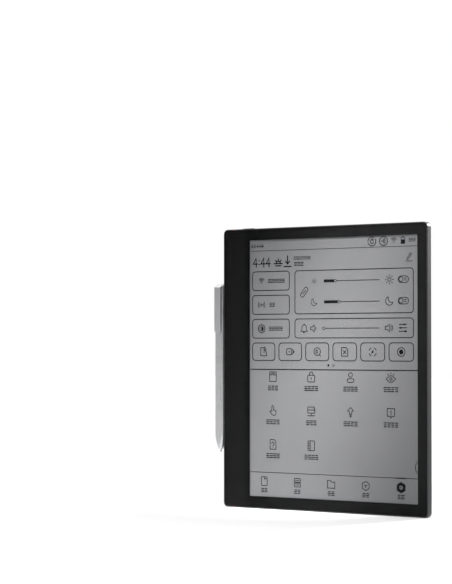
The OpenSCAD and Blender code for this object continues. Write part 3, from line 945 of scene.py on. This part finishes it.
def slider(ink, left, right, v, share, hollow=False):
    """A level: a thin line, a thick stretch up to the knob, and the knob."""
    knob, thin, thick, rim = 1.15, 0.6, 2.4, 0.5
    at = left + (right - left) * share
    ink.line([(at + (knob if hollow else 2 * knob), v), (right, v)], thin)
    if share > 0:
        ink.fill(rounded(left, v - thick / 2, at, v + thick / 2, 0.5))
    ink.line(circle((at + (0 if hollow else knob), v), knob, 18), rim, closed=True)


def rule(ink, v, width, left, right):
    """A line across the page, short of its left and right edges."""
    ink.line([(left, v), (PAGE_WIDTH - right, v)], width)


def draw_status():
    """The top line: a label and a small clock at the left, four signs and a label at the right."""
    ink = Ink("screen_status_ink")
    text_row, badge_row, sign_row = 4.9, 4.3, 4.0
    words(ink, (3.4, text_row), 2, cell=2.5, height=2.7, width=THIN)
    digits(ink, "4:44", left=6.6, middle=text_row, height=2.8, width=THIN)
    turn_badge(Icon(ink, (116.0, badge_row), 7.2))
    wave_badge(Icon(ink, (126.6, badge_row), 7.2))
    fan(Icon(ink, (135.9, sign_row), 4.4, width=0.45))
    battery(Icon(ink, (144.1, sign_row), 5.6, width=THIN))
    words(ink, (152.2, sign_row), 3, cell=2.1, height=2.8, width=0.6)
    rule(ink, STATUS_RULE, 0.42, left=0.8, right=0.4)
    return ink


def draw_clock():
    """The large clock with two signs, a note in two lines, and a pencil at the right."""
    ink = Ink("screen_clock_ink")
    digits(ink, "4:44", left=3.0, middle=18.4, height=7.2, width=BOLD)
    half_sun(Icon(ink, (27.6, 17.9), 8.0, width=BOLD))
    sink_arrow(Icon(ink, (36.6, 18.2), 9.0, width=BOLD))
    words(ink, (50.5, 15.6), 7, cell=2.35, height=2.6, width=THIN)
    words(ink, (47.4, 20.4), 3, cell=3.1, height=3.2, width=LINE)
    pencil(Icon(ink, (149.4, 17.4), 6.4, width=THIN))
    return ink


def draw_switches():
    """Three switches down the left, each a sign and a label in a box."""
    ink = Ink("screen_switches_ink")
    # each one's sign, the sign's size, the label's middle and how many signs the label has
    switches = ((fan, 4.6, 25.6, 6), (beacon, 6.6, 21.6, 2), (contrast, 6.8, 25.0, 5))
    for k, (icon, size, label, count) in enumerate(switches):
        top = ROW_TOP + k * ROW_PITCH
        ink.box(LEFT_EDGE, top, SWITCH_RIGHT, top + ROW_HEIGHT, 2.4)
        icon(Icon(ink, (11.2, top + ROW_HEIGHT / 2), size, width=THIN))
        words(ink, (label, top + ROW_HEIGHT / 2), count, cell=2.75, height=3.2, width=0.7)
    return ink


def draw_levels():
    """Two sliders for the light in one box, and one for the sound in another."""
    ink = Ink("screen_levels_ink")
    corner, sign_width = 2.6, 0.6
    light_bottom = ROW_TOP + ROW_PITCH + ROW_HEIGHT
    sound_top = ROW_TOP + 2 * ROW_PITCH
    ink.box(PANE_LEFT, ROW_TOP, RIGHT_EDGE, light_bottom, corner)
    ink.box(PANE_LEFT, sound_top, RIGHT_EDGE, sound_top + ROW_HEIGHT, corner)
    link_centre = (52.6, (ROW_TOP + light_bottom) / 2)
    chain(Icon(ink, link_centre, 7.6, turn=math.radians(-52), width=sign_width))
    # each one's height, sign at the low end, that sign's size, sign at the high end, and level
    lights = ((ROW_TOP + 8.7, faint_sun, 5.4, sun, 0.185), (light_bottom - 9.4, moon, 6.0, moon, 0.250))
    for v, low_sign, size, high_sign, share in lights:
        low_sign(Icon(ink, (62.0, v), size, width=0.5))
        slider(ink, left=71.3, right=122.7, v=v, share=share)
        high_sign(Icon(ink, (131.8, v), 7.2, width=sign_width))
        toggle(Icon(ink, (144.4, v), 9.2, width=sign_width))
    v = sound_top + ROW_HEIGHT / 2
    bell(Icon(ink, (52.5, v), 7.4, width=sign_width))
    speaker(Icon(ink, (61.8, v), 7.0, width=sign_width))
    slider(ink, left=71.2, right=122.4, v=v, share=0.0, hollow=True)
    speaker(Icon(ink, (131.3, v), 7.2, width=sign_width), waves=2)
    mixer(Icon(ink, (144.0, v), 7.2, width=0.7))
    return ink


def draw_keys():
    """A row of six keys, and two page dots under it."""
    ink = Ink("screen_keys_ink")
    for k, icon in enumerate((page_turn, cast, search, page_edit, capture, record)):
        left = LEFT_EDGE + k * KEY_PITCH
        ink.box(left, KEY_TOP, left + KEY_WIDTH, KEY_TOP + KEY_HEIGHT, 2.8)
        icon(Icon(ink, (left + KEY_WIDTH / 2, KEY_TOP + KEY_HEIGHT / 2), 7.2, width=0.66))
    ink.fill(circle((75.4, DOTS_ROW), 0.95, 16))
    ink.line(circle((80.2, DOTS_ROW), 0.8, 16), 0.4, closed=True)
    return ink


def draw_grid():
    """Ten settings in rows of four, each a sign over a label, with how many signs the label has."""
    ink = Ink("screen_grid_ink")
    rule(ink, GRID_RULE, 0.85, left=0.8, right=0.4)
    rows = (((window, 3), (lock, 4), (person, 4), (eye, 4)),
            ((hand, 4), (server, 3), (up_arrow, 4), (notice, 4)),
            ((help_page, 4), (notebook, 4)))
    for r, row in enumerate(rows):
        for c, (icon, count) in enumerate(row):
            u, v = GRID_LEFT + c * GRID_PITCH, GRID_TOP + r * GRID_ROW
            icon(Icon(ink, (u, v), 7.8, width=0.64))
            words(ink, (u, v + LABEL_DROP), count, cell=3.4, height=3.9, width=0.84)
    # the part on the screen of a round handle at its right edge
    ink.line(arc((PAGE_WIDTH + 3.6, 181.2), 6.2, 233, 127), 0.6)
    return ink


def draw_navigation():
    """The bottom row: four pages, and the open one with a bold hexagon and a mark over it."""
    ink = Ink("screen_navigation_ink")
    rule(ink, NAV_RULE, 0.52, left=0.4, right=0.6)
    label = {"cell": 3.3, "height": 3.5, "width": 0.78}
    for k, icon in enumerate((page_mark, shelf, folder, hexagon)):
        u = NAV_LEFT + k * NAV_PITCH
        icon(Icon(ink, (u, NAV_ROW), 7.2, width=0.62))
        words(ink, (u, NAV_LABEL), 2, **label)
    u = NAV_LEFT + 4 * NAV_PITCH
    ink.line([polar(3.1, 90 + 60 * k, (u, NAV_ROW)) for k in range(6)], 2.5, closed=True)
    ink.fill(circle((u, NAV_ROW), 0.75, 14))
    words(ink, (u, NAV_LABEL), 2, **label)
    ink.line([(u - 4.4, NAV_RULE), (u + 4.4, NAV_RULE)], BOLD)
    return ink


def draw_screen():
    """The settings page, one piece of ink for each of its parts."""
    ink_material = screen_ink("screen_ink")
    for draw in (draw_status, draw_clock, draw_switches, draw_levels, draw_keys, draw_grid, draw_navigation):
        draw().finish(ink_material, "epaper")


# ---------------------------------------------------------------- visible shells with rounded edges

# angles in degrees: faces flatter than the first are joined, edges sharper than the second are
# rounded, and edges sharper than the third stay sharp in the shading
FLAT_ANGLE, SHARP_ANGLE, SHADING_ANGLE = 0.6, 24, 40
WELD_DISTANCE = 0.001 * MM

# how far in each node's edges are rounded, in millimetres
EDGE_WIDTHS = {
    "rear_cover": 0.10, "spine_cover": 0.10, "accent_strip": 0.06, "front_glass": 0.12,
    "power_button": 0.14, "pen_barrel": 0.14, "pen_end_cap": 0.10, "pen_clip": 0.14,
    "pen_side_button": 0.14, "pen_nib_collar": 0.08, "usb_port_shell": 0.05,
}


def softened(node, width, finishes):
    """Stands for a CAD node: the same shape with its sharp edges rounded off by width millimetres."""
    shape = bmesh.new()
    shape.from_mesh(NODES[node].data)
    bmesh.ops.remove_doubles(shape, verts=shape.verts, dist=WELD_DISTANCE)
    bmesh.ops.dissolve_limit(shape, angle_limit=math.radians(FLAT_ANGLE), verts=shape.verts,
                             edges=shape.edges)
    sharp = [e for e in shape.edges if e.is_manifold and e.calc_face_angle() > math.radians(SHARP_ANGLE)]
    bmesh.ops.bevel(shape, geom=sharp, offset=width * MM, segments=2, profile=0.6,
                    affect="EDGES", clamp_overlap=False)
    mesh = bpy.data.meshes.new(node + "_shell")
    shape.to_mesh(mesh)
    shape.free()
    if "custom_normal" in mesh.attributes:
        mesh.attributes.remove(mesh.attributes["custom_normal"])
    mesh.polygons.foreach_set("use_smooth", [True] * len(mesh.polygons))
    mesh.set_sharp_from_angle(angle=math.radians(SHADING_ANGLE))
    mesh.materials.clear()
    mesh.materials.append(finishes[SLOT_OF[node]])
    piece = bpy.data.objects.new(node + "_shell", mesh)
    bpy.context.scene.collection.objects.link(piece)
    even = piece.modifiers.new("even_shading", "WEIGHTED_NORMAL")
    even.keep_sharp = True
    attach(piece, BODY_OF[node])
    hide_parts(node)


def round_edges(finishes):
    """A softened shell for each node whose edges show."""
    for node, width in EDGE_WIDTHS.items():
        softened(node, width, finishes)


# ---------------------------------------------------------------- small visible additions

def plates(name, boxes, rim, material, body):
    """Small pads in one piece, each a box from its low to its high corner, with rim as its chamfer."""
    shape = bmesh.new()
    for low, high in boxes:
        middle, size = (Vector(low) + Vector(high)) / 2, Vector(high) - Vector(low)
        made = bmesh.ops.create_cube(shape, size=1)["verts"]
        bmesh.ops.scale(shape, vec=size, verts=made)
        bmesh.ops.translate(shape, vec=middle, verts=made)
    bmesh.ops.bevel(shape, geom=shape.edges, offset=rim, segments=1, affect="EDGES")
    mesh = bpy.data.meshes.new(name)
    shape.to_mesh(mesh)
    shape.free()
    mesh.materials.append(material)
    piece = bpy.data.objects.new(name, mesh)
    bpy.context.scene.collection.objects.link(piece)
    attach(piece, body)


def port_contacts(finishes):
    """Twelve gold contacts on each face of the port's tongue."""
    low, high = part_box("usb_port_tongue")
    count = 12
    pitch, pad, raised, rim = 0.5 * MM, 0.26 * MM, 0.03 * MM, 0.01 * MM
    length, inset = 3.2 * MM, 0.3 * MM
    start = low.z + inset
    boxes = []
    for k in range(count):
        x = (low.x + high.x) / 2 + (k - (count - 1) / 2) * pitch
        for face, out in ((low.y, -raised), (high.y, raised)):
            near, far = sorted((face - out, face + out))
            boxes.append(((x - pad / 2, near, start), (x + pad / 2, far, start + length)))
    plates("port_contacts", boxes, rim, finishes["gold_can"], "tablet")


# ---------------------------------------------------------------- assembly

def dress_nodes(finishes):
    """Gives every CAD node the finish of its slot."""
    for name, node in NODES.items():
        for slot in node.material_slots:
            slot.material = finishes[SLOT_OF[name]]


make_camera()
make_floor()
make_lights()
FINISHES = make_finishes()
dress_nodes(FINISHES)
draw_screen()
round_edges(FINISHES)
port_contacts(FINISHES)
